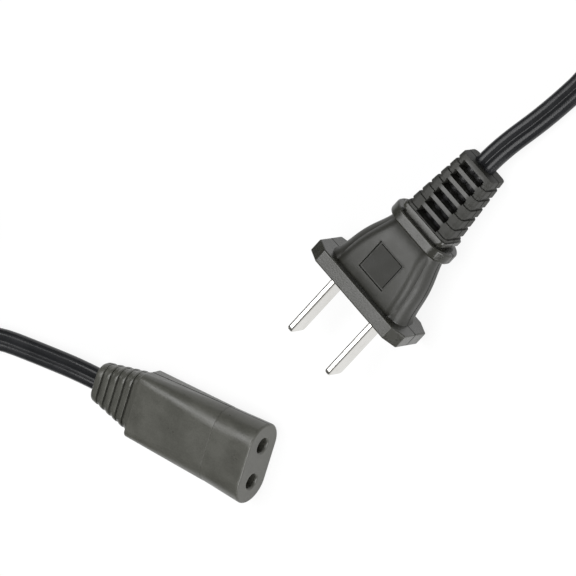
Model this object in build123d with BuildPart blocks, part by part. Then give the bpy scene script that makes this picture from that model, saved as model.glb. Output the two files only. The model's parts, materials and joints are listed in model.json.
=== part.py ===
"""Flat twin power cord with a two-blade plug and a two-hole connector, lying at rest.

Each end is drawn on its own bench frame and then laid on the floor: X runs across the end, Y is up
out of its broad side, Z points out of the plug towards the blade tips or out of the connector mouth.
"""
import os
from math import atan, cos, radians, sin, tan

from build123d import *

os.makedirs("parts", exist_ok=True)

# Cord, a flat twin of two cores joined by a web
core_d = 2.7
core_pitch = 2.5
cord_w = core_pitch + core_d
web_t = 1.5
strand_r = 0.85
strand_bare = 0.6
core_bend = 1.5
split_back = 0.4
floor_gap = 0.1

# Plug blades and the bridge that holds them
blade_pitch = 12.7
blade_w = 6.35
blade_t = 1.5
blade_len = 17.0
blade_tip = 1.1
root_w = 4.0
bridge_len = 5.2
bridge_wall_x = 1.5
bridge_wall_y = 1.2
barrel_r = 1.5
barrel_len = 4.6
barrel_gap = 0.7

# Plug flange
flange_l = 28.6
flange_h = 14.0
flange_t = 3.5
flange_cut_l = 3.0
flange_cut_h = 2.1
flange_skin = 2.8
flange_edge = 0.35

# Plug body: a wide skirt that flares to the flange, and a thicker flat deck along its middle
body_len = 15.8
skirt_front_w = 23.0
skirt_full_w = 20.8
skirt_mid_w = 18.7
skirt_waist_w = 15.8
skirt_neck_w = 14.4
skirt_front_t = 9.8
skirt_neck_t = 8.4
deck_front_w = 18.6
deck_foot_w = 17.8
deck_mid_w = 16.2
deck_ridge_w = 13.2
deck_neck_w = 12.2
deck_front_t = 10.6
deck_foot_t = 11.6
deck_mid_t = 11.8
deck_ridge_t = 11.0
deck_neck_t = 9.0
skirt_corner = 3.4
deck_corner = 2.4
recess_side = 7.6
recess_depth = 0.25
recess_frame = 0.4
recess_frame_depth = 0.6
recess_back = 3.0

# Plug collar, neck band and ladder relief
collar_w = 17.2
collar_t = 10.2
collar_len = 2.7
collar_round = 0.5
collar_corner = 4.6
band_w = 13.3
band_t = 9.2
band_len = 1.9
band_gap = 0.7
relief_root_w = 12.7
relief_tip_w = 9.8
relief_root_t = 8.4
relief_tip_t = 6.6
relief_root_corner = 1.5
relief_tip_corner = 1.3
relief_len = 16.9
relief_rows = 6
row_pitch = 2.75
row_first = 0.2
groove_w = 0.8
groove_depth = 0.4
window_w = 1.65
window_half = 3.2
window_floor = 0.5

# Connector
hole_pitch = 8.6
hole_r = 1.7
hole_lead = 0.4
mouth_skin = 4.0
nose_front_w = 19.2
nose_rear_w = 17.9
nose_front_t = 10.6
nose_rear_t = 9.9
nose_len = 10.5
grip_front_w = 18.0
grip_rear_w = 15.2
grip_front_t = 10.0
grip_rear_t = 8.8
grip_rear_corner = 1.8
grip_len = 21.3
tail_root_w = 14.4
tail_tip_w = 9.0
tail_root_t = 7.9
tail_tip_t = 6.4
tail_root_corner = 3.2
tail_tip_corner = 2.8
tail_len = 11.8
tail_rows = 5
tail_pitch = 2.0
tail_first = 1.0
tail_groove_w = 1.0
tail_groove_depth = 0.75
tail_side_depth = 0.1
tail_round = 0.8
sleeve_r = 1.9
sleeve_bore_r = 1.2
sleeve_len = 10.0
sleeve_back = 1.0
insert_short = 0.4
insert_wall_x = 1.2
insert_wall_y = 1.1
tube_len = 5.0
insert_corner = 2.0
nose_edge = 0.5
slim = 0.05

# Where things lie on the floor, seen from above
plug_at = (19.60, 7.26)
plug_turn = -135.0
connector_at = (-9.91, -30.83)
connector_turn = -21.6
coil_at = (-113.6, 24.0)
coil_mean_r = 29.0
coil_turns = 3
coil_layers = 2
turn_gap = 0.3
tie_t = 0.8
tie_w = 5.0
tie_turn = 35.0
lead_out = 13.0
lead_in = 16.0
plug_points = ((76.6, 59.0, 1.45), (78.2, 77.4, 1.45), (65.6, 90.2, 1.45), (40.0, 90.0, 1.45),
               (-4.0, 87.6, 1.45), (-48.0, 88.0, 1.45), (-85.0, 76.0, 1.45), (-105.0, 61.0, 2.6),
               (-118.0, 51.6, 4.6))
connector_points = ((-91.3, -5.0, 2.9), (-105.0, -4.4, 4.8))

# Worked out from the sizes above
core_r = core_d / 2
body_start = -flange_t
body_end = body_start - body_len
collar_end = body_end - collar_len
band_end = collar_end - band_len
plug_end = band_end - relief_len
tail_start = -nose_len - grip_len
connector_end = tail_start - tail_len

plug_tilt = atan((flange_h - relief_tip_t) / 2 / (-plug_end - flange_t))
plug_lift = flange_h / 2 * cos(plug_tilt) + flange_t * sin(plug_tilt)
connector_tilt = atan((nose_front_t - grip_rear_t) / 2 / (nose_len + grip_len))
connector_lift = nose_front_t / 2 * cos(connector_tilt)


def lay_frame(at, turn, tilt, lift):
    """Bench frame of one end on the floor, its Z along the turn and raised by the tilt."""
    forward = Vector(cos(radians(turn)) * cos(tilt), sin(radians(turn)) * cos(tilt), sin(tilt))
    across = Vector(-sin(radians(turn)), cos(radians(turn)), 0)
    return Plane(origin=(at[0], at[1], lift), x_dir=across, z_dir=forward)


plug_frame = lay_frame(plug_at, plug_turn, plug_tilt, plug_lift)
connector_frame = lay_frame(connector_at, connector_turn, connector_tilt, connector_lift)


def laid(builder, label, frame):
    """Move a finished piece from its bench frame to the floor and write it out."""
    piece = builder.part.moved(frame.location)
    piece.label = label
    export_step(piece, f"parts/{label}.step")
    return piece


def twin_section(plane):
    """Sketch of the flat twin cord on a plane, wide along the plane's X."""
    with BuildSketch(plane) as section:
        with Locations((-core_pitch / 2, 0), (core_pitch / 2, 0)):
            Circle(core_r)
        Rectangle(core_pitch, web_t)
    return section.sketch


# Blades
root_end = -flange_skin - bridge_len
barrel_start = root_end - barrel_gap
barrel_end = barrel_start - barrel_len
core_start = barrel_end - strand_bare
split_at = band_end - split_back


def blade(side):
    """One stamped blade with its root and crimp barrel, on the given side."""
    x = side * blade_pitch / 2
    with BuildPart() as piece:
        with BuildSketch(Plane.YZ.offset(x - blade_t / 2)):
            with Locations((0, (blade_len - flange_skin) / 2)):
                Rectangle(blade_w, blade_len + flange_skin)
        extrude(amount=blade_t)
        tips = piece.edges().filter_by(Axis.X).group_by(Axis.Z)[-1]
        fillet(tips, radius=blade_tip)
        with BuildSketch(Plane.XY.offset(root_end)):
            with Locations((x, 0)):
                Rectangle(blade_t, root_w)
        extrude(amount=bridge_len)
        with BuildSketch(Plane.XY.offset(barrel_end)):
            with Locations((x, 0)):
                Circle(barrel_r)
        extrude(amount=barrel_len + barrel_gap)
        with BuildSketch(Plane.XY.offset(barrel_end)):
            with Locations((x, 0)):
                Circle(strand_r)
        extrude(amount=barrel_len, mode=Mode.SUBTRACT)
    return piece


blade_left = blade(-1)
blade_right = blade(1)


def strands(x, start, end):
    """Bare copper strands in a crimp barrel, from one depth back to another."""
    with BuildPart() as piece:
        with BuildSketch(Plane.XY.offset(end)):
            with Locations((x, 0)):
                Circle(strand_r)
        extrude(amount=start - end)
    return piece


plug_strands_left = strands(-blade_pitch / 2, barrel_start, core_start)
plug_strands_right = strands(blade_pitch / 2, barrel_start, core_start)

# Cord end in each moulding: the twin in the relief, split into two cores
def cord_end(end, split, start, far):
    """Twin cord from its exit to the split, and both cores on to where their strands begin."""
    with BuildPart() as piece:
        add(twin_section(Plane.XY.offset(end)))
        extrude(amount=split - end)
        for side in (-1, 1):
            near_x = side * core_pitch / 2
            far_x = side * far
            with BuildLine() as core_path:
                FilletPolyline((near_x, 0, split), (near_x, 0, split + core_bend),
                               (far_x, 0, start - core_bend), (far_x, 0, start), radius=core_d)
            with BuildSketch(Plane.XY.offset(split)):
                with Locations((near_x, 0)):
                    Circle(core_r)
            sweep(path=core_path.wire())
    return piece


plug_cord_end = cord_end(plug_end, split_at, core_start, blade_pitch / 2)

with BuildPart() as plug_bridge:
    with BuildSketch(Plane.XY.offset(root_end)):
        Rectangle(blade_pitch + blade_t + 2 * bridge_wall_x, root_w + 2 * bridge_wall_y)
        with Locations((-blade_pitch / 2, 0), (blade_pitch / 2, 0)):
            Rectangle(blade_t, root_w, mode=Mode.SUBTRACT)
    extrude(amount=bridge_len)


# Plug overmould: flange, bell body, collar and ladder relief in one moulding
def ladder(start, end, wide, thick, corner, rows, first, pitch, slot, depth, side_depth):
    """Tapered relief with a groove all round at each row, left standing on a slimmer core."""
    with BuildPart() as ribs:
        with BuildSketch(Plane.XY.offset(start)):
            RectangleRounded(wide[0], thick[0], corner[0])
        with BuildSketch(Plane.XY.offset(end)):
            RectangleRounded(wide[1], thick[1], corner[1])
        loft()
        for row in range(rows):
            with BuildSketch(Plane.XY.offset(start - first - row * pitch - slot)):
                Rectangle(2 * wide[0], 2 * thick[0])
            extrude(amount=slot, mode=Mode.SUBTRACT)
        with BuildSketch(Plane.XY.offset(start)):
            RectangleRounded(wide[0] - 2 * side_depth, thick[0] - 2 * depth, corner[0] - depth)
        with BuildSketch(Plane.XY.offset(end)):
            RectangleRounded(wide[1] - 2 * side_depth, thick[1] - 2 * depth, corner[1] - depth)
        loft()
    return ribs


plug_relief = ladder(band_end, plug_end, (relief_root_w, relief_tip_w), (relief_root_t, relief_tip_t),
                     (relief_root_corner, relief_tip_corner), relief_rows,
                     row_first + (window_w - groove_w) / 2, row_pitch, groove_w, groove_depth, groove_depth)

with BuildPart() as flange:
    with BuildSketch(Plane.XY.offset(-flange_t)):
        with BuildLine():
            half_l = flange_l / 2
            half_h = flange_h / 2
            Polyline((-half_l, -half_h + flange_cut_h), (-half_l + flange_cut_l, -half_h),
                     (half_l - flange_cut_l, -half_h), (half_l, -half_h + flange_cut_h),
                     (half_l, half_h - flange_cut_h), (half_l - flange_cut_l, half_h),
                     (-half_l + flange_cut_l, half_h), (-half_l, half_h - flange_cut_h), close=True)
        make_face()
    extrude(amount=flange_t)
    fillet(flange.edges(), radius=flange_edge)

with BuildPart() as collar:
    with BuildSketch(Plane.XY.offset(collar_end)):
        RectangleRounded(collar_w, collar_t, collar_corner)
    extrude(amount=collar_len)
    fillet(collar.faces().sort_by(Axis.Z)[0].edges(), radius=collar_round)
    fillet(collar.faces().sort_by(Axis.Z)[-1].edges(), radius=collar_round)

with BuildPart() as plug_overmould:
    add(flange.part)
    for share, wide in ((0, skirt_front_w), (0.27, skirt_full_w), (0.58, skirt_mid_w), (0.83, skirt_waist_w),
                        (1, skirt_neck_w)):
        thick = skirt_front_t + share * (skirt_neck_t - skirt_front_t)
        with BuildSketch(Plane.XY.offset(body_start - share * body_len)):
            RectangleRounded(wide, thick, skirt_corner)
    loft()
    for share, wide, thick in ((0, deck_front_w, deck_front_t), (0.2, deck_foot_w, deck_foot_t),
                               (0.5, deck_mid_w, deck_mid_t), (0.84, deck_ridge_w, deck_ridge_t),
                               (1, deck_neck_w, deck_neck_t)):
        with BuildSketch(Plane.XY.offset(body_start - share * body_len)):
            RectangleRounded(wide, thick, deck_corner)
    loft()
    with BuildSketch(Plane.XY.offset(body_end)):
        RectangleRounded(skirt_neck_w, skirt_neck_t, skirt_corner)
    extrude(amount=-collar_len)
    add(collar.part)
    with BuildSketch(Plane.XY.offset(band_end)):
        RectangleRounded(band_w, band_t, relief_root_corner)
    extrude(amount=band_len - band_gap)
    with BuildSketch(Plane.XY.offset(band_end)):
        RectangleRounded(relief_root_w - 2 * groove_depth, relief_root_t - 2 * groove_depth,
                         relief_root_corner)
    extrude(amount=band_len)
    add(plug_relief.part)
    with BuildSketch(Plane.XZ.offset(-flange_h / 2)):
        with Locations((0, body_start - recess_back - recess_side / 2)):
            Rectangle(recess_side, recess_side)
    extrude(amount=(flange_h - deck_mid_t) / 2 + recess_depth, mode=Mode.SUBTRACT)
    with BuildSketch(Plane.XZ.offset(-flange_h / 2)):
        with Locations((0, body_start - recess_back - recess_side / 2)):
            Rectangle(recess_side, recess_side)
            Rectangle(recess_side - 2 * recess_frame, recess_side - 2 * recess_frame, mode=Mode.SUBTRACT)
    extrude(amount=(flange_h - deck_mid_t) / 2 + recess_frame_depth, mode=Mode.SUBTRACT)
    for row in range(relief_rows):
        with BuildSketch(Plane.XY.offset(band_end - row_first - row * row_pitch - window_w)):
            with Locations((0, window_floor + relief_root_t / 2), (0, -window_floor - relief_root_t / 2)):
                Rectangle(2 * window_half, relief_root_t)
        extrude(amount=window_w, mode=Mode.SUBTRACT)
    for inner in (blade_left, blade_right, plug_bridge, plug_strands_left, plug_strands_right, plug_cord_end):
        add(inner.part, mode=Mode.SUBTRACT)

# Connector contacts, strands and cord end
sleeve_start = -mouth_skin
sleeve_end = sleeve_start - sleeve_len
tube_start = sleeve_end - sleeve_back
tube_end = tube_start - tube_len
tail_core_start = tube_end - strand_bare
tail_split = tail_start - tail_first
insert_end = tail_start + insert_short
insert_w = hole_pitch + 2 * (sleeve_r + insert_wall_x)
insert_t = 2 * (sleeve_r + insert_wall_y)


def contact(side):
    """One rolled contact: the sleeve that takes a pin, a closed back and a crimp tube."""
    x = side * hole_pitch / 2
    with BuildPart() as piece:
        with BuildSketch(Plane.XY.offset(sleeve_end)):
            with Locations((x, 0)):
                Circle(sleeve_r)
                Circle(sleeve_bore_r, mode=Mode.SUBTRACT)
        extrude(amount=sleeve_len)
        with BuildSketch(Plane.XY.offset(tube_start)):
            with Locations((x, 0)):
                Circle(sleeve_r)
        extrude(amount=sleeve_back)
        with BuildSketch(Plane.XY.offset(tube_end)):
            with Locations((x, 0)):
                Circle(barrel_r)
                Circle(strand_r, mode=Mode.SUBTRACT)
        extrude(amount=tube_len)
    return piece


contact_lower = contact(-1)
contact_upper = contact(1)
connector_strands_lower = strands(-hole_pitch / 2, tube_start, tail_core_start)
connector_strands_upper = strands(hole_pitch / 2, tube_start, tail_core_start)
connector_cord_end = cord_end(connector_end, tail_split, tail_core_start, hole_pitch / 2)

# Inner moulding round the contacts, the crimps and the split cores
with BuildPart() as connector_insert:
    with BuildSketch(Plane.XY.offset(insert_end)):
        RectangleRounded(insert_w, insert_t, insert_corner)
    extrude(amount=sleeve_start - insert_end)
    for inner in (contact_lower, contact_upper, connector_strands_lower, connector_strands_upper,
                  connector_cord_end):
        add(inner.part, mode=Mode.SUBTRACT)
    with BuildSketch(Plane.XY.offset(sleeve_end)):
        with Locations((-hole_pitch / 2, 0), (hole_pitch / 2, 0)):
            Circle(sleeve_bore_r)
    extrude(amount=sleeve_len, mode=Mode.SUBTRACT)

# Connector overmould: nose, grip and ringed tail in one moulding
connector_tail = ladder(tail_start, connector_end, (tail_root_w, tail_tip_w), (tail_root_t, tail_tip_t),
                        (tail_root_corner, tail_tip_corner), tail_rows, tail_first, tail_pitch, tail_groove_w,
                        tail_groove_depth, tail_side_depth)

with BuildPart() as tail:
    add(connector_tail.part)
    fillet(tail.faces().sort_by(Axis.Z)[0].edges(), radius=tail_round)

with BuildPart() as nose:
    with BuildSketch(Plane.XY.offset(-nose_len)):
        RectangleRounded(nose_rear_w, nose_rear_t, nose_rear_t / 2 - slim)
    with BuildSketch(Plane.XY):
        RectangleRounded(nose_front_w, nose_front_t, nose_front_t / 2 - slim)
    loft()
    fillet(nose.faces().sort_by(Axis.Z)[-1].edges(), radius=nose_edge)

with BuildPart() as grip:
    with BuildSketch(Plane.XY.offset(-nose_len)):
        RectangleRounded(grip_front_w, grip_front_t, grip_front_t / 2 - slim)
    with BuildSketch(Plane.XY.offset(tail_start)):
        RectangleRounded(grip_rear_w, grip_rear_t, grip_rear_corner)
    loft()

with BuildPart() as connector_overmould:
    add(nose.part)
    add(grip.part)
    add(tail.part)
    with BuildSketch(Plane.XY.offset(-mouth_skin)):
        with Locations((-hole_pitch / 2, 0), (hole_pitch / 2, 0)):
            Circle(hole_r)
    extrude(amount=mouth_skin, mode=Mode.SUBTRACT)
    rims = connector_overmould.edges().filter_by(GeomType.CIRCLE).group_by(Axis.Z)[-1]
    chamfer(rims.filter_by(lambda e: abs(e.radius - hole_r) < slim), length=hole_lead)
    with BuildSketch(Plane.XY.offset(insert_end)):
        RectangleRounded(insert_w, insert_t, insert_corner)
    extrude(amount=sleeve_start - insert_end, mode=Mode.SUBTRACT)
    add(connector_cord_end.part, mode=Mode.SUBTRACT)

# Put-away coil, one ring of the outer shape of all its turns, and the tie round it
coil_in_r = coil_mean_r - coil_turns * (core_d + turn_gap) / 2
coil_out_r = coil_mean_r + coil_turns * (core_d + turn_gap) / 2
coil_low = tie_t + floor_gap
coil_high = coil_low + coil_layers * (cord_w + turn_gap)

with BuildPart() as cord_coil:
    with BuildSketch(Plane(origin=(coil_at[0], coil_at[1], coil_low), z_dir=(0, 0, 1))):
        Circle(coil_out_r)
        Circle(coil_in_r, mode=Mode.SUBTRACT)
    extrude(amount=coil_high - coil_low)
    fillet(cord_coil.edges().filter_by(GeomType.CIRCLE), radius=core_r / 2)

tie_across = Vector(cos(radians(tie_turn)), sin(radians(tie_turn)), 0)
tie_along = Vector(-sin(radians(tie_turn)), cos(radians(tie_turn)), 0)
tie_middle = Vector(coil_at[0], coil_at[1], (coil_low + coil_high) / 2) + tie_across * coil_mean_r

with BuildPart() as coil_tie:
    with BuildSketch(Plane(origin=tie_middle - tie_along * tie_w / 2, x_dir=tie_across, z_dir=tie_along)):
        RectangleRounded(coil_out_r - coil_in_r + 2 * tie_t, coil_high - coil_low + 2 * tie_t, core_r)
    extrude(amount=tie_w)
    add(cord_coil.part, mode=Mode.SUBTRACT)


# Cord tubes from each end to the coil
def out_of(frame, depth):
    """Floor point on an end's axis at a depth behind its face."""
    return frame.origin - frame.z_dir * depth


plug_run = [out_of(plug_frame, -plug_end), out_of(plug_frame, lead_out - plug_end)]
plug_run += [Vector(*p) for p in plug_points]
connector_run = [out_of(connector_frame, -connector_end), out_of(connector_frame, lead_in - connector_end)]
connector_run += [Vector(*p) for p in connector_points]


def bend_radii(points):
    """Radius of each corner, from the shorter of its two runs and its turn."""
    radii = []
    for before, corner, after in zip(points, points[1:], points[2:]):
        run_in = corner - before
        run_out = after - corner
        half = radians(run_in.get_angle(run_out)) / 2
        radii.append(0.45 * min(run_in.length, run_out.length) / tan(half))
    return radii


def tube(points, frame):
    """Flat twin swept along straight runs and arcs, cut off where it joins the coil."""
    radii = bend_radii(points)
    with BuildPart() as piece:
        with BuildLine() as route:
            FilletPolyline(*points, radius=radii)
        add(twin_section(Plane(origin=points[0], x_dir=frame.x_dir, z_dir=-frame.z_dir)))
        sweep(path=route.wire())
        add(cord_coil.part, mode=Mode.SUBTRACT)
    return piece


cord_plug_side = tube(plug_run, plug_frame)
cord_connector_side = tube(connector_run, connector_frame)

plug_pieces = {"plug_overmould": plug_overmould, "plug_bridge": plug_bridge, "blade_left": blade_left,
               "blade_right": blade_right, "plug_strands_left": plug_strands_left,
               "plug_strands_right": plug_strands_right, "plug_cord_end": plug_cord_end}
connector_pieces = {"connector_overmould": connector_overmould, "connector_insert": connector_insert,
                    "contact_lower": contact_lower, "contact_upper": contact_upper,
                    "connector_strands_lower": connector_strands_lower,
                    "connector_strands_upper": connector_strands_upper,
                    "connector_cord_end": connector_cord_end}
cord_pieces = {"cord_plug_side": cord_plug_side, "cord_connector_side": cord_connector_side,
               "cord_coil": cord_coil, "coil_tie": coil_tie}
for pieces, frame in ((plug_pieces, plug_frame), (connector_pieces, connector_frame),
                      (cord_pieces, Plane.XY)):
    for label, builder in pieces.items():
        laid(builder, label, frame)
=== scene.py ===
"""Flat twin power cord with a moulded plug and a slim connector: finishes, cord, light and camera."""
import json
import logging
from dataclasses import dataclass
from enum import Enum
from math import cos, pi, radians, sin

import bmesh
import bpy
from mathutils import Matrix, Vector
from mathutils.bvhtree import BVHTree


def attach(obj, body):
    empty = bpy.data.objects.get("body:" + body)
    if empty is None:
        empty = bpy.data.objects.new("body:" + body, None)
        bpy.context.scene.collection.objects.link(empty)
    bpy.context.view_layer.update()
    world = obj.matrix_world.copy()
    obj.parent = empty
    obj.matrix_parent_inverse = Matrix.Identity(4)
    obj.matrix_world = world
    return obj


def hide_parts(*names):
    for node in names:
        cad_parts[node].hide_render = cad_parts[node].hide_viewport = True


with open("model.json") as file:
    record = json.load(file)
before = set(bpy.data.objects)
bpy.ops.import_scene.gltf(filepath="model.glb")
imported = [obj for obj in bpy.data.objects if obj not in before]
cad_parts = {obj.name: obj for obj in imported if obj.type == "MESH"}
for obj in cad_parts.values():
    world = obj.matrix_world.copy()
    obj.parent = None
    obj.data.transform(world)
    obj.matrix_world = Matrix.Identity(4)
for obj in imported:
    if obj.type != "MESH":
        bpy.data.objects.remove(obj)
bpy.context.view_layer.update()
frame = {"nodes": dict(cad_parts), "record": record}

log = logging.getLogger("power_cord")
Colour = tuple[float, float, float]
Point = tuple[float, float, float]
MM = 0.001


class Node(str, Enum):
    """Shader node types that the finishes use."""

    COORDINATES = "ShaderNodeTexCoord"
    MAPPING = "ShaderNodeMapping"
    NOISE = "ShaderNodeTexNoise"
    SPLIT = "ShaderNodeSeparateXYZ"
    MATHS = "ShaderNodeMath"
    RANGE = "ShaderNodeMapRange"
    MIX = "ShaderNodeMix"
    BUMP = "ShaderNodeBump"
    PRINCIPLED = "ShaderNodeBsdfPrincipled"
    EMISSION = "ShaderNodeEmission"
    MIX_SHADER = "ShaderNodeMixShader"
    LIGHT_PATH = "ShaderNodeLightPath"
    BACKGROUND = "ShaderNodeBackground"
    OUTPUT = "ShaderNodeOutputMaterial"
    WORLD_OUTPUT = "ShaderNodeOutputWorld"


class Value:
    """An output socket whose Python operators add Math nodes to its tree."""

    def __init__(self, shader: "Shader", socket: bpy.types.NodeSocket) -> None:
        """Keep the socket and the shader that it belongs to.

        Args:
            shader: the tree that new nodes go to.
            socket: the output that this value stands for.
        """
        self.shader = shader
        self.socket = socket

    def maths(self, operation: str, *terms: "Value | float") -> "Value":
        """Return a Math node's result on the given terms."""
        inputs = dict(enumerate(terms))
        return self.shader.node(Node.MATHS, {"operation": operation}, inputs, "Value")

    def __add__(self, other: "Value | float") -> "Value":
        """Return the sum."""
        return self.maths("ADD", self, other)

    def __radd__(self, other: float) -> "Value":
        """Return the sum with a number on the left."""
        return self.maths("ADD", other, self)

    def __sub__(self, other: "Value | float") -> "Value":
        """Return the difference."""
        return self.maths("SUBTRACT", self, other)

    def __rsub__(self, other: float) -> "Value":
        """Return a number less this value."""
        return self.maths("SUBTRACT", other, self)

    def __mul__(self, other: "Value | float") -> "Value":
        """Return the product."""
        return self.maths("MULTIPLY", self, other)

    def __rmul__(self, other: float) -> "Value":
        """Return the product with a number on the left."""
        return self.maths("MULTIPLY", other, self)

    def __abs__(self) -> "Value":
        """Return the size without its sign."""
        return self.maths("ABSOLUTE", self)

    def at_least(self, other: "Value | float") -> "Value":
        """Return the larger of two values."""
        return self.maths("MAXIMUM", self, other)

    def ramp(self, low: float, high: float, start: float = 0.0, end: float = 1.0) -> "Value":
        """Return this value mapped smoothly and clamped to a new range.

        Args:
            low: the value that maps to start.
            high: the value that maps to end.
            start: the result at low.
            end: the result at high.

        Returns:
            The mapped value.
        """
        inputs = {"Value": self, "From Min": low, "From Max": high, "To Min": start, "To Max": end}
        return self.shader.node(Node.RANGE, {"interpolation_type": "SMOOTHSTEP"}, inputs, "Result")


class Shader:
    """A material or world whose nodes are added by one method."""

    def __init__(self, owner: bpy.types.Material | bpy.types.World) -> None:
        """Keep the owner and its node tree, emptied.

        Args:
            owner: the material or world to build.
        """
        owner.use_nodes = True
        self.owner = owner
        self.tree = owner.node_tree
        self.tree.nodes.clear()

    def add(self, kind: Node, settings: dict, inputs: dict) -> bpy.types.Node:
        """Add a node, set it up and feed it.

        Args:
            kind: the node's type.
            settings: its properties, set before its sockets.
            inputs: values or links by socket name or place.

        Returns:
            The node.
        """
        made = self.tree.nodes.new(kind.value)
        for name, value in settings.items():
            setattr(made, name, value)
        for key, value in inputs.items():
            self.feed(self.pick(made.inputs, key), value)
        return made

    def node(self, kind: Node, settings: dict, inputs: dict, output: str) -> Value:
        """Add a node and return its output of that name."""
        made = self.add(kind, settings, inputs)
        return Value(self, self.pick(made.outputs, output))

    def close(self, surface: Value, kind: Node = Node.OUTPUT) -> None:
        """Feed a surface to the tree's output."""
        self.add(kind, {}, {"Surface": surface})

    @staticmethod
    def pick(sockets: bpy.types.bpy_prop_collection, key: str | int) -> bpy.types.NodeSocket:
        """Return a socket by place, or the first one in use with that name.

        Args:
            sockets: a node's inputs or outputs.
            key: the socket's place or name.

        Returns:
            The socket.
        """
        if isinstance(key, int):
            return sockets[key]
        return next(s for s in sockets if s.name == key and s.enabled)

    def feed(self, socket: bpy.types.NodeSocket, value: object) -> None:
        """Link a value to a socket, or set the socket's own number, vector or colour.

        Args:
            socket: the input to feed.
            value: a value to link, or what the socket is set to.
        """
        if isinstance(value, Value):
            self.tree.links.new(value.socket, socket)
        elif socket.type == "RGBA":
            socket.default_value = (*value, 1.0)
        else:
            socket.default_value = value

    def axis(self, place: Value, name: str) -> Value:
        """Return one coordinate of a vector, X, Y or Z."""
        return self.node(Node.SPLIT, {}, {"Vector": place}, name)

    def blend(self, share: Value, low: object, high: object) -> Value:
        """Return a colour between two others by a share from 0 to 1."""
        settings = {"data_type": "RGBA", "blend_type": "MIX"}
        return self.node(Node.MIX, settings, {"Factor": share, "A": low, "B": high}, "Result")

    def noise(self, place: Value, scale: float, detail: float, rough: float) -> Value:
        """Return fractal noise with about that many features in a metre."""
        inputs = {"Vector": place, "Scale": scale, "Detail": detail, "Roughness": rough}
        return self.node(Node.NOISE, {}, inputs, "Fac")

    def bump(self, height: Value, depth: float, strength: float) -> Value:
        """Return a normal raised by a height that runs from 0 to 1 over a depth in metres."""
        inputs = {"Height": height, "Distance": depth, "Strength": strength}
        return self.node(Node.BUMP, {}, inputs, "Normal")


@dataclass(frozen=True)
class Bench:
    """Frame of one end as it was drawn: across its broad side, up out of it, forward out of its face."""

    origin: Vector
    across: Vector
    up: Vector
    forward: Vector

    @classmethod
    def at_mount(cls, name: str) -> "Bench":
        """Return the frame of the end whose face holds a mount.

        Args:
            name: the mount's name in the record.

        Returns:
            The frame, level across, with its origin on the face.
        """
        mount = next(m for m in frame["record"]["mounts"] if m["name"] == name)
        forward = Vector(mount["axis"]).normalized()
        across = Vector((-forward.y, forward.x, 0.0)).normalized()
        return cls(Vector(mount["pos_m"]), across, forward.cross(across), forward)

    def point(self, x: float, y: float, z: float) -> Vector:
        """Return a bench point in the shared frame."""
        return self.origin + self.across * x + self.up * y + self.forward * z

    @property
    def matrix(self) -> Matrix:
        """Bench coordinates to the shared frame."""
        turn = Matrix((self.across, self.up, self.forward)).transposed()
        return Matrix.Translation(self.origin) @ turn.to_4x4()

    def coordinates(self, shader: Shader) -> Value:
        """Return the surface's place in bench coordinates.

        Args:
            shader: the finish's tree.

        Returns:
            The place as a vector value.
        """
        place = shader.node(Node.COORDINATES, {}, {}, "Object")
        inputs = {"Vector": place, "Location": self.origin, "Rotation": self.matrix.to_euler()}
        return shader.node(Node.MAPPING, {"vector_type": "TEXTURE"}, inputs, "Vector")


@dataclass(frozen=True)
class Patch:
    """A box in bench coordinates in which a moulding gets painted shade and another roughness.

    Attributes:
        half: reach to each side across the bench.
        back: rear end along the bench.
        front: front end along the bench.
        low: height above which the box lies.
        painted_shade_share: share of painted shade inside.
        rougher: what is added to the roughness inside.
        soft: width over which the box fades.
    """

    half: float
    back: float
    front: float
    low: float
    painted_shade_share: float = 0.5
    rougher: float = 0.2
    soft: float = 0.1 * MM

    def share(self, shader: Shader, place: Value) -> Value:
        """Return 1 inside the box and 0 outside it.

        Args:
            shader: the finish's tree.
            place: bench coordinates.

        Returns:
            The share.
        """
        half_length = (self.front - self.back) / 2
        along = abs(shader.axis(place, "Z") - (self.back + self.front) / 2)
        across = abs(shader.axis(place, "X")).ramp(self.half - self.soft, self.half + self.soft, 1.0, 0.0)
        above = shader.axis(place, "Y").ramp(self.low, self.low + self.soft)
        return across * along.ramp(half_length - self.soft, half_length + self.soft, 1.0, 0.0) * above


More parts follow.
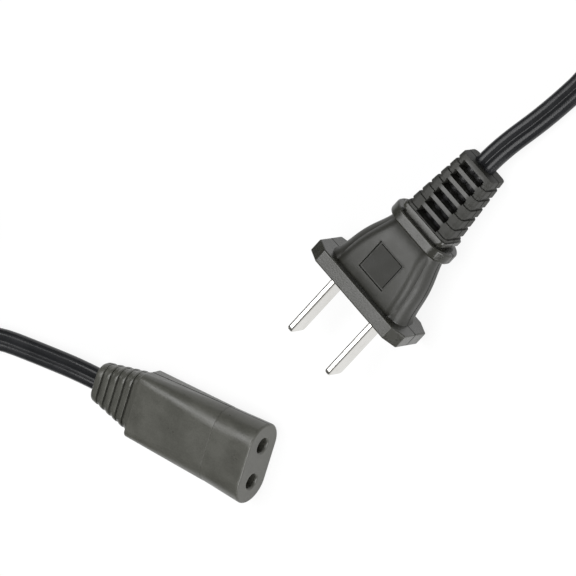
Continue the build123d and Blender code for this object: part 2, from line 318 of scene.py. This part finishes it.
@dataclass(frozen=True)
class Pvc:
    """Moulded soft PVC with a fine spark-eroded grain, painted shade along its parting line, and patches of
    painted shade.

    A noise pair is detail and roughness. A scale is in features per metre.

    Attributes:
        grain: scale of the fine grain.
        cloud: scale of the broad mottling.
        tones: the band of noise that is spread from dark to light.
        seam_half: half the width of the painted shade along the parting line, or 0 for none.
        seam_core: share of that half which is painted fully dark.
        seam_rim: share of that half at which the line has faded.
        seam_from: front end of the line, along the bench.
        seam_painted_tone: colour of the painted shade on the parting line, as a share of the dark one.
        patch_painted_tone: colour of a patch's painted shade, as a share of the dark one.
    """

    name: str
    dark: Colour
    light: Colour
    rough: float = 0.42
    rough_spread: float = 0.12
    refraction: float = 1.5
    grain: float = 2600.0
    grain_noise: tuple[float, float] = (3.0, 0.6)
    grain_share: float = 0.4
    grain_depth: float = 0.05 * MM
    grain_strength: float = 0.35
    cloud: float = 160.0
    cloud_noise: tuple[float, float] = (4.0, 0.55)
    tones: tuple[float, float] = (0.3, 0.7)
    seam_half: float = 0.0
    seam_core: float = 0.5
    seam_rim: float = 1.3
    seam_from: float = -0.4 * MM
    seam_fade: float = 0.2 * MM
    seam_cover: float = 0.85
    seam_painted_tone: float = 0.25
    seam_rough: float = 0.8
    patches: tuple[Patch, ...] = ()
    patch_painted_tone: float = 0.5

    def shaded(self, share: float) -> Colour:
        """Return the dark colour times a share, as a colour of painted shade."""
        return tuple(share * part for part in self.dark)

    def seam(self, shader: Shader, place: Value) -> Value:
        """Return the share of painted shade: 1 on the parting line and 0 away from it.

        Args:
            shader: the finish's tree.
            place: bench coordinates.

        Returns:
            The share.
        """
        core = self.seam_half * self.seam_core
        rim = self.seam_half * self.seam_rim
        near = abs(shader.axis(place, "Y")).ramp(core, rim, 1.0, 0.0)
        front = self.seam_from
        return near * shader.axis(place, "Z").ramp(front - self.seam_fade, front, 1.0, 0.0)

    def material(self, bench: Bench) -> bpy.types.Material:
        """Make the finish for pieces of one end.

        Args:
            bench: the end's own frame, which the grain and the parting line follow.

        Returns:
            The material.
        """
        shader = Shader(bpy.data.materials.new(self.name))
        place = bench.coordinates(shader)
        grain = shader.noise(place, self.grain, *self.grain_noise)
        cloud = shader.noise(place, self.cloud, *self.cloud_noise)
        tone = cloud.ramp(*self.tones) * (1 - self.grain_share) + grain.ramp(*self.tones) * self.grain_share
        colour = shader.blend(tone, self.dark, self.light)
        half_spread = self.rough_spread / 2
        rough = cloud.ramp(*self.tones, self.rough - half_spread, self.rough + half_spread)
        # Painted shade darkens the colour along the parting line's groove; the line is also rougher there.
        if self.seam_half > 0:
            seam = self.seam(shader, place)
            colour = shader.blend(seam * self.seam_cover, colour, self.shaded(self.seam_painted_tone))
            rough = rough.at_least(seam * self.seam_rough)
        # Each patch paints shade into the colour and changes the roughness.
        for patch in self.patches:
            share = patch.share(shader, place)
            colour = shader.blend(share * patch.painted_shade_share, colour, self.shaded(self.patch_painted_tone))
            rough = rough + share * patch.rougher
        normal = shader.bump(grain, self.grain_depth, self.grain_strength)
        inputs = {"Base Color": colour, "Roughness": rough, "Normal": normal, "IOR": self.refraction}
        shader.close(shader.node(Node.PRINCIPLED, {}, inputs, "BSDF"))
        return shader.owner


@dataclass(frozen=True)
class Metal:
    """Plated or bare metal with fine drawn lines along one end's axis, and a faint stain.

    A noise pair is detail and roughness. A scale is in features per metre.

    Attributes:
        shade: colour of the stain.
        rough_shares: least and most roughness over the lines, as shares of rough.
        lines: scale of the lines across the bench.
        line_stretch: share of that scale along the bench.
        stain: scale of the stain.
        dull: what the stain adds to the roughness at most.
    """

    name: str
    colour: Colour
    shade: Colour
    rough: float = 0.2
    rough_shares: tuple[float, float] = (0.75, 1.3)
    lines: float = 5000.0
    line_noise: tuple[float, float] = (2.0, 0.5)
    line_tones: tuple[float, float] = (0.3, 0.7)
    line_stretch: float = 0.02
    line_depth: float = 0.004 * MM
    line_strength: float = 0.2
    stain: float = 350.0
    stain_noise: tuple[float, float] = (3.0, 0.6)
    stain_tones: tuple[float, float] = (0.45, 0.8)
    stain_cover: float = 0.5
    dull_tones: tuple[float, float] = (0.5, 0.8)
    dull: float = 0.06

    def material(self, bench: Bench) -> bpy.types.Material:
        """Make the finish for pieces of one end.

        Args:
            bench: the end's own frame, along whose forward axis the lines run.

        Returns:
            The material.
        """
        shader = Shader(bpy.data.materials.new(self.name))
        place = bench.coordinates(shader)
        scale = (1.0, 1.0, self.line_stretch)
        stretched = shader.node(Node.MAPPING, {}, {"Vector": place, "Scale": scale}, "Vector")
        lines = shader.noise(stretched, self.lines, *self.line_noise)
        stain = shader.noise(place, self.stain, *self.stain_noise)
        colour = shader.blend(stain.ramp(*self.stain_tones) * self.stain_cover, self.colour, self.shade)
        low, high = (self.rough * share for share in self.rough_shares)
        rough = lines.ramp(*self.line_tones, low, high) + stain.ramp(*self.dull_tones, 0.0, self.dull)
        normal = shader.bump(lines, self.line_depth, self.line_strength)
        inputs = {"Base Color": colour, "Metallic": 1.0, "Roughness": rough, "Normal": normal}
        shader.close(shader.node(Node.PRINCIPLED, {}, inputs, "BSDF"))
        return shader.owner


def put(name: str, data: bpy.types.ID) -> bpy.types.Object:
    """Put a new object at the scene's origin.

    Args:
        name: the object's name.
        data: its mesh, curve, lamp or camera.

    Returns:
        The object.
    """
    made = bpy.data.objects.new(name, data)
    bpy.context.scene.collection.objects.link(made)
    return made


def cover(mesh: bpy.types.Mesh, material: bpy.types.Material) -> None:
    """Give a mesh one material and no other."""
    mesh.materials.clear()
    mesh.materials.append(material)


def dress(nodes: list[str], material: bpy.types.Material) -> None:
    """Put one material on CAD nodes.

    Args:
        nodes: the nodes' names.
        material: their finish.
    """
    for name in nodes:
        cover(frame["nodes"][name].data, material)
        log.info("%s: %s", name, material.name)


def eased(share: float) -> float:
    """Return a share from 0 to 1 slowed down at both ends."""
    return share * share * (3 - 2 * share)


@dataclass(frozen=True)
class Rungs:
    """The bars between a relief's windows, whose long edges are rounder than the rest.

    Attributes:
        half: reach of the bars to each side across the bench.
        low: least height of their edges above or below the bench.
        front: where the bars start, along the bench.
        least: length from which an edge counts as long.
        edge: width of the rounding.
        rounds: facets of the rounding.
    """

    half: float
    low: float
    front: float
    least: float
    edge: float
    rounds: int = 3

    def holds(self, edge: bmesh.types.BMEdge, to_bench: Matrix) -> bool:
        """Tell whether an edge is a long one of a bar, on a broad side behind the front.

        Args:
            edge: an edge of the merged CAD mesh.
            to_bench: the change from shared to bench coordinates.

        Returns:
            True for a bar's edge.
        """
        if len(edge.link_faces) != 2 or not edge.is_convex or edge.calc_length() < self.least:
            return False
        ends = [to_bench @ v.co for v in edge.verts]
        return all(abs(p.x) < self.half and abs(p.y) > self.low and p.z < self.front for p in ends)


@dataclass
class SoftPiece:
    """A copy of a CAD piece with softened edges, and a parting line if it was moulded in halves.

    Attributes:
        edge: width of the softening.
        edge_from: place along the bench in front of which edges are softened.
        least: length from which an edge is softened.
        sharp: angle from which an edge is sharp.
        flat: angle up to which faces are joined.
        merge: distance at which the CAD mesh's points are joined.
        sliver: distance at which points are joined at the end.
        seam_clear: distance from the middle up to which no line is cut.
        seam_near: distance at which a point lies on the line.
        skin: distance at which a point lies on the outside.
        outside: distance that is clear of the piece.
    """

    bench: Bench
    node: str
    name: str
    slot: str
    edge: float = 0.14 * MM
    edge_from: float = -50.0 * MM
    least: float = 0.05 * MM
    rounds: int = 2
    sharp: float = radians(32.0)
    flat: float = radians(0.3)
    merge: float = 0.02 * MM
    sliver: float = 0.0002 * MM
    rungs: Rungs | None = None
    parted: bool = True
    seam_half: float = 0.2 * MM
    seam_depth: float = 0.3 * MM
    seam_clear: float = 3.2 * MM
    seam_cut: float = 0.001 * MM
    seam_near: float = 0.002 * MM
    skin: float = 0.05 * MM
    outside: float = 50.0 * MM

    def is_corner(self, edge: bmesh.types.BMEdge) -> bool:
        """Tell whether an edge is a sharp outer one that is to be softened.

        Args:
            edge: an edge of the merged CAD mesh.

        Returns:
            True for a convex edge of enough length in front of edge_from.
        """
        if len(edge.link_faces) != 2 or not edge.is_convex or edge.calc_face_angle() < self.sharp:
            return False
        ahead = min((v.co - self.bench.origin).dot(self.bench.forward) for v in edge.verts)
        return ahead > self.edge_from and edge.calc_length() > self.least

    @staticmethod
    def soften(work: bmesh.types.BMesh, edges: list[bmesh.types.BMEdge], width: float, rounds: int) -> None:
        """Bevel the edges in place by a width, in a number of rounds."""
        bmesh.ops.bevel(work, geom=edges, offset=width, offset_type="OFFSET", affect="EDGES",
                        segments=rounds, profile=0.5, clamp_overlap=False, material=-1)

    def part_line(self, work: bmesh.types.BMesh) -> None:
        """Press a fine V groove into the outside where the mould halves met.

        Args:
            work: the shell's mesh, cut along the groove and changed in place.
        """
        outer = BVHTree.FromBMesh(work)
        to_bench = self.bench.matrix.inverted()
        for height in (-self.seam_half, 0.0, self.seam_half):
            whole = [*work.verts, *work.edges, *work.faces]
            bmesh.ops.bisect_plane(work, geom=whole, dist=self.seam_cut,
                                   plane_co=self.bench.point(0, height, 0), plane_no=self.bench.up)
        for vert in work.verts:
            place = to_bench @ vert.co
            if abs(place.y) > self.seam_near or abs(place.x) < self.seam_clear:
                continue
            outward = self.bench.across * (1.0 if place.x > 0 else -1.0)
            start = self.bench.point(0, 0, place.z) + outward * self.outside
            hit = outer.ray_cast(start, -outward)[0]
            if hit is not None and (hit - vert.co).length < self.skin:
                vert.co -= outward * self.seam_depth

    def mesh(self) -> bpy.types.Mesh:
        """Copy the CAD node's mesh, merge it, soften its edges and cut the parting line.

        Returns:
            The new mesh.
        """
        work = bmesh.new()
        work.from_mesh(frame["nodes"][self.node].data)
        bmesh.ops.remove_doubles(work, verts=work.verts, dist=self.merge)
        bmesh.ops.dissolve_degenerate(work, edges=work.edges, dist=self.merge)
        bmesh.ops.dissolve_limit(work, angle_limit=self.flat, verts=work.verts, edges=work.edges)
        if self.rungs is not None:
            to_bench = self.bench.matrix.inverted()
            bars = [e for e in work.edges if self.rungs.holds(e, to_bench)]
            self.soften(work, bars, self.rungs.edge, self.rungs.rounds)
        self.soften(work, [e for e in work.edges if self.is_corner(e)], self.edge, self.rounds)
        if self.parted:
            self.part_line(work)
        bmesh.ops.remove_doubles(work, verts=work.verts, dist=self.sliver)
        made = bpy.data.meshes.new(self.name)
        work.to_mesh(made)
        work.free()
        if "custom_normal" in made.attributes:
            made.attributes.remove(made.attributes["custom_normal"])
        return made

    def build(self, material: bpy.types.Material) -> bpy.types.Object:
        """Make the copy that replaces the CAD node.

        Args:
            material: the piece's finish.

        Returns:
            The copy.
        """
        mesh = self.mesh()
        made = put(self.name, mesh)
        cover(mesh, material)
        mesh.shade_smooth()
        mesh.set_sharp_from_angle(angle=self.sharp)
        made.modifiers.new("even_normals", "WEIGHTED_NORMAL").keep_sharp = True
        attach(made, "root")
        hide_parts(self.node)
        log.info("%s: %d faces", self.name, len(mesh.polygons))
        return made


@dataclass
class PlugEnd:
    """The plug: its moulding, its blades, and the bridge that the moulding hides."""

    bench: Bench
    # Patches of painted shade on the body, the recess, the relief and its bars, darker than flange and
    # collar; each also changes the roughness.
    body: Patch = Patch(12.0 * MM, -19.2 * MM, -3.6 * MM, -9.0 * MM, painted_shade_share=0.4)
    recess: Patch = Patch(3.4 * MM, -13.7 * MM, -6.9 * MM, 4.8 * MM)
    relief: Patch = Patch(9.0 * MM, -42.0 * MM, -23.9 * MM, -9.0 * MM, rougher=0.36)
    bars: Patch = Patch(2.9 * MM, -40.0 * MM, -23.9 * MM, 2.2 * MM, rougher=-0.3, soft=0.6 * MM)
    rungs: Rungs = Rungs(half=3.3 * MM, low=2.8 * MM, front=-23.5 * MM, least=5.0 * MM, edge=0.4 * MM)
    seam_half: float = 0.2 * MM
    blade_edge: float = 0.42 * MM
    blade_from: float = -3.0 * MM
    blade_sharp: float = radians(20.0)

    def moulding(self) -> bpy.types.Object:
        """Make the soft moulding: painted shade on body, recess, relief and bars; the first three rougher,
        the bars glossier.

        Returns:
            The moulding.
        """
        finish = Pvc("plug_pvc", (0.016, 0.016, 0.0125), (0.028, 0.028, 0.022), rough=0.27,
                     seam_half=self.seam_half, patches=(self.body, self.recess, self.relief, self.bars))
        shell = SoftPiece(self.bench, "plug_overmould", "plug_shell", "plug_pvc", rungs=self.rungs)
        return shell.build(finish.material(self.bench))

    def blades(self) -> list[bpy.types.Object]:
        """Make the plated blades.

        Returns:
            The left blade and the right one.
        """
        nickel = Metal("nickel", (0.66, 0.65, 0.62), (0.55, 0.535, 0.49), rough=0.13).material(self.bench)
        made = []
        for side in ("left", "right"):
            blade = SoftPiece(self.bench, f"blade_{side}", f"plug_blade_{side}", "nickel", parted=False,
                              edge=self.blade_edge, edge_from=self.blade_from, sharp=self.blade_sharp)
            made.append(blade.build(nickel))
        return made

    def dress_inside(self, holder: Pvc) -> None:
        """Dress the bridge in the holder's finish."""
        dress(["plug_bridge"], holder.material(self.bench))


@dataclass
class ConnectorEnd:
    """The connector: its moulding, its contacts, and the insert round them."""

    bench: Bench
    edge: float = 0.2 * MM
    seam_half: float = 0.18 * MM

    def moulding(self) -> bpy.types.Object:
        """Make the soft moulding.

        Returns:
            The moulding.
        """
        # A lighter copy of the plug's black PVC: the lift is painted light in place of stronger lamp light;
        # the parting line gets painted shade.
        finish = Pvc("connector_pvc", (0.046, 0.046, 0.039), (0.07, 0.07, 0.06), rough=0.33,
                     seam_half=self.seam_half)
        shell = SoftPiece(self.bench, "connector_overmould", "connector_shell", "connector_pvc",
                          edge=self.edge)
        return shell.build(finish.material(self.bench))

    def dress_inside(self, holder: Pvc) -> None:
        """Dress the contacts in brass, and the insert.

        Args:
            holder: the insert's finish.
        """
        brass = Metal("contact_brass", (0.78, 0.58, 0.25), (0.55, 0.36, 0.13), rough=0.26)
        dress(["contact_lower", "contact_upper"], brass.material(self.bench))
        dress(["connector_insert"], holder.material(self.bench))


@dataclass
class TwinCord:
    """The flat twin cord from the connector to the plug, its spare length wound into a coil.

    The coil winds inwards lane by lane on its upper layer, drops, and winds outwards on the lower one.

    Attributes:
        lanes: radii of the coil's turns, from the outermost.
        layers: heights of the upper and the lower layer.
        turn: degrees in a turn, which is also how often the lane changes.
        turned_in: degrees turned at the first change of lane inwards, which takes step_in.
        turned_down: degrees turned at the drop, which takes step_down.
        turned_out: degrees turned at the first change of lane outwards, which takes step_out.
        turned_off: degrees turned where the coil ends.
        rise_tilts: quarter turns about its line at the last points before the coil.
        fall_tilts: quarter turns about its line at the first points after the coil.
    """

    plug: Bench
    connector: Bench
    plug_len: float = 40.8 * MM
    connector_len: float = 43.6 * MM
    lead_out: float = 5.0 * MM
    lead_in: float = 5.0 * MM
    core_d: float = 2.7 * MM
    core_pitch: float = 2.5 * MM
    web_t: float = 1.5 * MM
    core_steps: int = 12
    path_steps: int = 6
    weld: float = 0.001 * MM
    sharp: float = radians(50.0)
    length: float = 1.5
    coil_at: tuple[float, float] = (-0.1136, 0.024)
    lanes: tuple[float, ...] = (0.035, 0.032, 0.029, 0.026)
    layers: tuple[float, float] = (0.00915, 0.00365)
    turn: int = 360
    turn_points: int = 24
    turned_in: int = 40
    step_in: int = 60
    turned_down: int = 1010
    step_down: int = 110
    turned_out: int = 1322
    step_out: int = 58
    turned_off: int = 2340
    rise_tilts: tuple[float, ...] = (0.5, 0.9)
    fall_tilts: tuple[float, ...] = (0.7, 0.15)
    connector_points: tuple[Point, ...] = ((-0.0656, -0.0100, 0.0031), (-0.0811, -0.0058, 0.0024),
                                           (-0.0930, -0.0086, 0.0065), (-0.1025, -0.0113, 0.0094))
    plug_points: tuple[Point, ...] = ((-0.1030, 0.0610, 0.0030), (-0.0850, 0.0760, 0.0019),
                                      (-0.0480, 0.0880, 0.0016), (-0.0040, 0.0876, 0.00145),
                                      (0.0400, 0.0900, 0.00145), (0.0656, 0.0902, 0.00145),
                                      (0.0792, 0.0770, 0.00145), (0.0774, 0.0588, 0.00145),
                                      (0.0640, 0.0476, 0.00180))

    def lane_stops(self) -> list[Point]:
        """Work out where the coil starts and ends each change of lane or layer.

        Returns:
            Degrees turned, radius, and layer from 0 for the upper one to 1 for the lower one.
        """
        stops = [(0, self.lanes[0], 0)]
        for index, (before, after) in enumerate(zip(self.lanes, self.lanes[1:])):
            start = self.turned_in + index * self.turn
            stops += [(start, before, 0), (start + self.step_in, after, 0)]
        inner = self.lanes[-1]
        stops += [(self.turned_down, inner, 0), (self.turned_down + self.step_down, inner, 1)]
        outward = self.lanes[::-1]
        for index, (before, after) in enumerate(zip(outward, outward[1:])):
            start = self.turned_out + index * self.turn
            stops += [(start, before, 1), (start + self.step_out, after, 1)]
        return stops + [(self.turned_off, self.lanes[0], 1)]

    def coil_points(self) -> list[Vector]:
        """Work out the coil's turns: in on the upper layer, out on the lower one.

        Returns:
            Control points, from the connector's side.
        """
        stops = self.lane_stops()
        upper, lower = self.layers
        step = self.turn / self.turn_points
        points = []
        for index in range(1, int(self.turned_off / step)):
            turned = index * step
            before, after = next((a, b) for a, b in zip(stops, stops[1:]) if turned <= b[0])
            share = eased((turned - before[0]) / (after[0] - before[0]))
            radius = before[1] + share * (after[1] - before[1])
            layer = before[2] + share * (after[2] - before[2])
            angle = -pi / 2 - radians(turned)
            centre = Vector((*self.coil_at, upper + layer * (lower - upper)))
            points.append(centre + Vector((radius * cos(angle), radius * sin(angle), 0.0)))
        return points

    def route(self) -> tuple[list[Vector], list[float]]:
        """Join the runs at both ends to the coil.

        Returns:
            The control points from connector to plug, and the cord's turn about its line at each.
        """
        start = [self.connector.point(0, 0, -self.connector_len),
                 self.connector.point(0, 0, -self.connector_len - self.lead_in)]
        start += [Vector(p) for p in self.connector_points]
        coil = self.coil_points()
        end = [Vector(p) for p in self.plug_points]
        end += [self.plug.point(0, 0, -self.plug_len - self.lead_out),
                self.plug.point(0, 0, -self.plug_len)]
        tilts = [0.0] * (len(start) - len(self.rise_tilts)) + [*self.rise_tilts] + [1.0] * len(coil)
        tilts += [*self.fall_tilts] + [0.0] * (len(end) - len(self.fall_tilts))
        return start + coil + end, [tilt * pi / 2 for tilt in tilts]

    def line(self) -> bpy.types.Object:
        """Make the route as one NURBS spline.

        Returns:
            The curve object, with no bevel yet.
        """
        points, tilts = self.route()
        curve = bpy.data.curves.new("cord_line", "CURVE")
        curve.dimensions = "3D"
        curve.twist_mode = "Z_UP"
        curve.resolution_u = self.path_steps
        spline = curve.splines.new("NURBS")
        spline.points.add(len(points) - 1)
        for place, tilt, spot in zip(points, tilts, spline.points):
            spot.co = (*place, 1.0)
            spot.tilt = tilt
        spline.order_u = 3
        spline.use_endpoint_u = True
        return put("cord_line", curve)

    def section(self) -> bpy.types.Object:
        """Make the two-lobe section, wide along its own X.

        Returns:
            A closed flat curve object.
        """
        radius = self.core_d / 2
        notch = (radius * radius - self.web_t * self.web_t / 4) ** 0.5
        reach = pi - Vector((notch, self.web_t / 2)).angle(Vector((1, 0)))
        places = []
        for side in (1, -1):
            for step in range(self.core_steps + 1):
                angle = -reach + 2 * reach * step / self.core_steps
                x = side * (self.core_pitch / 2 + radius * cos(angle))
                places.append((x, side * radius * sin(angle)))
        curve = bpy.data.curves.new("twin_section", "CURVE")
        curve.dimensions = "2D"
        outline = curve.splines.new("POLY")
        outline.points.add(len(places) - 1)
        for place, spot in zip(places, outline.points):
            spot.co = (*place, 0.0, 1.0)
        outline.use_cyclic_u = True
        return put("twin_section", curve)

    @staticmethod
    def evaluated(piece: bpy.types.Object) -> bpy.types.Mesh:
        """Return a curve object's mesh as it is evaluated now."""
        graph = bpy.context.evaluated_depsgraph_get()
        return bpy.data.meshes.new_from_object(piece.evaluated_get(graph))

    def close(self, mesh: bpy.types.Mesh) -> None:
        """Weld the end caps to the tube and turn all faces outwards.

        Args:
            mesh: the swept tube, changed in place.
        """
        work = bmesh.new()
        work.from_mesh(mesh)
        bmesh.ops.remove_doubles(work, verts=work.verts, dist=self.weld)
        bmesh.ops.recalc_face_normals(work, faces=work.faces)
        work.to_mesh(mesh)
        work.free()

    def sweep(self) -> tuple[bpy.types.Mesh, list[Vector]]:
        """Sweep the section along the spline.

        Returns:
            The closed tube, and the points that it follows.
        """
        line = self.line()
        bare = self.evaluated(line)
        path = [v.co.copy() for v in bare.vertices]
        section = self.section()
        line.data.bevel_mode = "OBJECT"
        line.data.bevel_object = section
        line.data.use_fill_caps = True
        mesh = self.evaluated(line)
        mesh.name = "flat_twin_cord"
        for spare in (line, section):
            bpy.data.objects.remove(spare)
        bpy.data.meshes.remove(bare)
        self.close(mesh)
        return mesh, path

    def build(self) -> bpy.types.Object:
        """Make the cord as one mesh tube, which replaces its CAD solids.

        Returns:
            The cord.
        """
        finish = Pvc("cord_pvc", (0.009, 0.0095, 0.0105), (0.016, 0.0165, 0.018), rough=0.24,
                     rough_spread=0.08, refraction=1.38)
        mesh, path = self.sweep()
        made = put("flat_twin_cord", mesh)
        cover(mesh, finish.material(self.plug))
        mesh.shade_smooth()
        mesh.set_sharp_from_angle(angle=self.sharp)
        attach(made, "root")
        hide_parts("cord_plug_side", "cord_connector_side", "cord_coil")
        self.core_pitch + self.core_d
        log.info("%s: %d faces", made.name, len(mesh.polygons))
        return made

    def dress_ends(self) -> None:
        """Dress the cord's ends inside both mouldings, their bared copper, and the coil's tie."""
        copper = Metal("copper", (0.80, 0.38, 0.22), (0.50, 0.20, 0.11), rough=0.34)
        dress(["plug_strands_left", "plug_strands_right", "connector_strands_lower",
               "connector_strands_upper"], copper.material(self.plug))
        # A lighter, glossier copy of the cord's PVC: the lift in colour is painted light that brings out
        # glints on the cores in the relief's windows.
        core = Pvc("core_pvc", (0.02, 0.02, 0.021), (0.035, 0.035, 0.036), rough=0.16, rough_spread=0.06)
        dress(["plug_cord_end", "connector_cord_end"], core.material(self.plug))
        tie = Pvc("tie_pvc", (0.022, 0.022, 0.022), (0.04, 0.04, 0.04), rough=0.55)
        dress(["coil_tie"], tie.material(self.plug))


@dataclass(frozen=True)
class SoftBox:
    """A rectangular studio lamp."""

    name: str
    place: Point
    size: tuple[float, float]
    power: float

    def build(self) -> bpy.types.Object:
        """Make the lamp, facing the origin.

        Returns:
            The lamp.
        """
        data = bpy.data.lights.new(self.name, "AREA")
        data.shape = "RECTANGLE"
        data.size, data.size_y = self.size
        data.energy = self.power
        made = put(self.name, data)
        made.location = self.place
        made.rotation_euler = (-Vector(self.place)).to_track_quat("-Z", "Y").to_euler()
        return made


@dataclass
class Studio:
    """White table, soft boxes and the camera at the photograph's angle.

    Attributes:
        place: the camera's place.
        right: its axis to the picture's right.
        up: its axis to the picture's top.
        back: its axis away from the object.
        table_glow: share of plain white in what the camera and reflections see of the table.
        room_heights: heights between which the room's light grows.
        room_light: its levels at those heights.
    """

    place: Point = (0.7864, 0.2179, 1.2737)
    right: Point = (0.8519, -0.0365, -0.5224)
    up: Point = (-0.0419, 0.9896, -0.1376)
    back: Point = (0.5220, 0.1392, 0.8415)
    lens: float = 437.5
    sensor: float = 36.0
    clip: tuple[float, float] = (0.05, 20.0)
    table_half: float = 3.0
    table_colour: Colour = (0.86, 0.86, 0.86)
    table_rough: float = 0.9
    table_glow: float = 0.88
    room_heights: tuple[float, float] = (0.1, 0.9)
    room_light: tuple[float, float] = (0.08, 0.26)
    lamps: tuple[SoftBox, ...] = (SoftBox("top_box", (-0.07, 0.14, 0.7), (0.56, 0.76), 6.5),
                                  SoftBox("side_box", (0.55, -0.45, 0.3), (0.5, 0.4), 4.4))

    def camera(self) -> bpy.types.Object:
        """Make the camera, rolled and far off behind a long lens.

        Returns:
            The camera.
        """
        data = bpy.data.cameras.new("camera")
        data.lens = self.lens
        data.sensor_width = self.sensor
        data.clip_start, data.clip_end = self.clip
        made = put("camera", data)
        turn = Matrix((Vector(self.right), Vector(self.up), Vector(self.back))).transposed()
        made.matrix_world = Matrix.Translation(self.place) @ turn.to_quaternion().to_matrix().to_4x4()
        bpy.context.scene.camera = made
        return made

    def paper(self) -> bpy.types.Material:
        """Make the table's finish: pale paper that the camera and reflections see as nearly white.

        Returns:
            The material.
        """
        shader = Shader(bpy.data.materials.new("white_table"))
        matt = {"Base Color": self.table_colour, "Roughness": self.table_rough}
        paper = shader.node(Node.PRINCIPLED, {}, matt, "BSDF")
        seen = shader.node(Node.LIGHT_PATH, {}, {}, "Is Camera Ray")
        glossy = shader.node(Node.LIGHT_PATH, {}, {}, "Is Glossy Ray")
        through = shader.node(Node.LIGHT_PATH, {}, {}, "Is Transmission Ray")
        glow = shader.node(Node.EMISSION, {}, {"Color": (1.0, 1.0, 1.0), "Strength": 1.0}, "Emission")
        share = seen.at_least(glossy).at_least(through) * self.table_glow
        shader.close(shader.node(Node.MIX_SHADER, {}, {"Fac": share, 1: paper, 2: glow}, "Shader"))
        return shader.owner

    def table(self) -> bpy.types.Object:
        """Make the pale table top.

        Returns:
            The table.
        """
        mesh = bpy.data.meshes.new("table")
        work = bmesh.new()
        bmesh.ops.create_grid(work, x_segments=1, y_segments=1, size=self.table_half)
        work.to_mesh(mesh)
        work.free()
        made = put("table", mesh)
        cover(mesh, self.paper())
        return made

    def room(self) -> None:
        """Fill the room with weak light that grows with height."""
        world = bpy.data.worlds.new("room")
        bpy.context.scene.world = world
        shader = Shader(world)
        place = shader.node(Node.COORDINATES, {}, {}, "Generated")
        level = shader.axis(place, "Z").ramp(*self.room_heights, *self.room_light)
        light = shader.node(Node.BACKGROUND, {}, {"Color": level, "Strength": 1.0}, "Background")
        shader.close(light, Node.WORLD_OUTPUT)

    def build(self) -> None:
        """Set up camera, table, room, lamps and view transform."""
        self.camera()
        self.table()
        self.room()
        for lamp in self.lamps:
            lamp.build()
        bpy.context.scene.view_settings.view_transform = "Standard"


def main() -> None:
    logging.basicConfig(level=logging.INFO, format="%(name)s %(message)s")
    Studio().build()
    plug = Bench.at_mount("blade_pair")
    connector = Bench.at_mount("connector_face")
    holder = Pvc("holder", (0.48, 0.47, 0.42), (0.58, 0.57, 0.52), rough=0.5)
    plug_end = PlugEnd(plug)
    connector_end = ConnectorEnd(connector)
    plug_end.moulding()
    connector_end.moulding()
    plug_end.blades()
    plug_end.dress_inside(holder)
    connector_end.dress_inside(holder)
    cord = TwinCord(plug, connector)
    cord.build()
    cord.dress_ends()


if __name__ == "__main__":
    main()
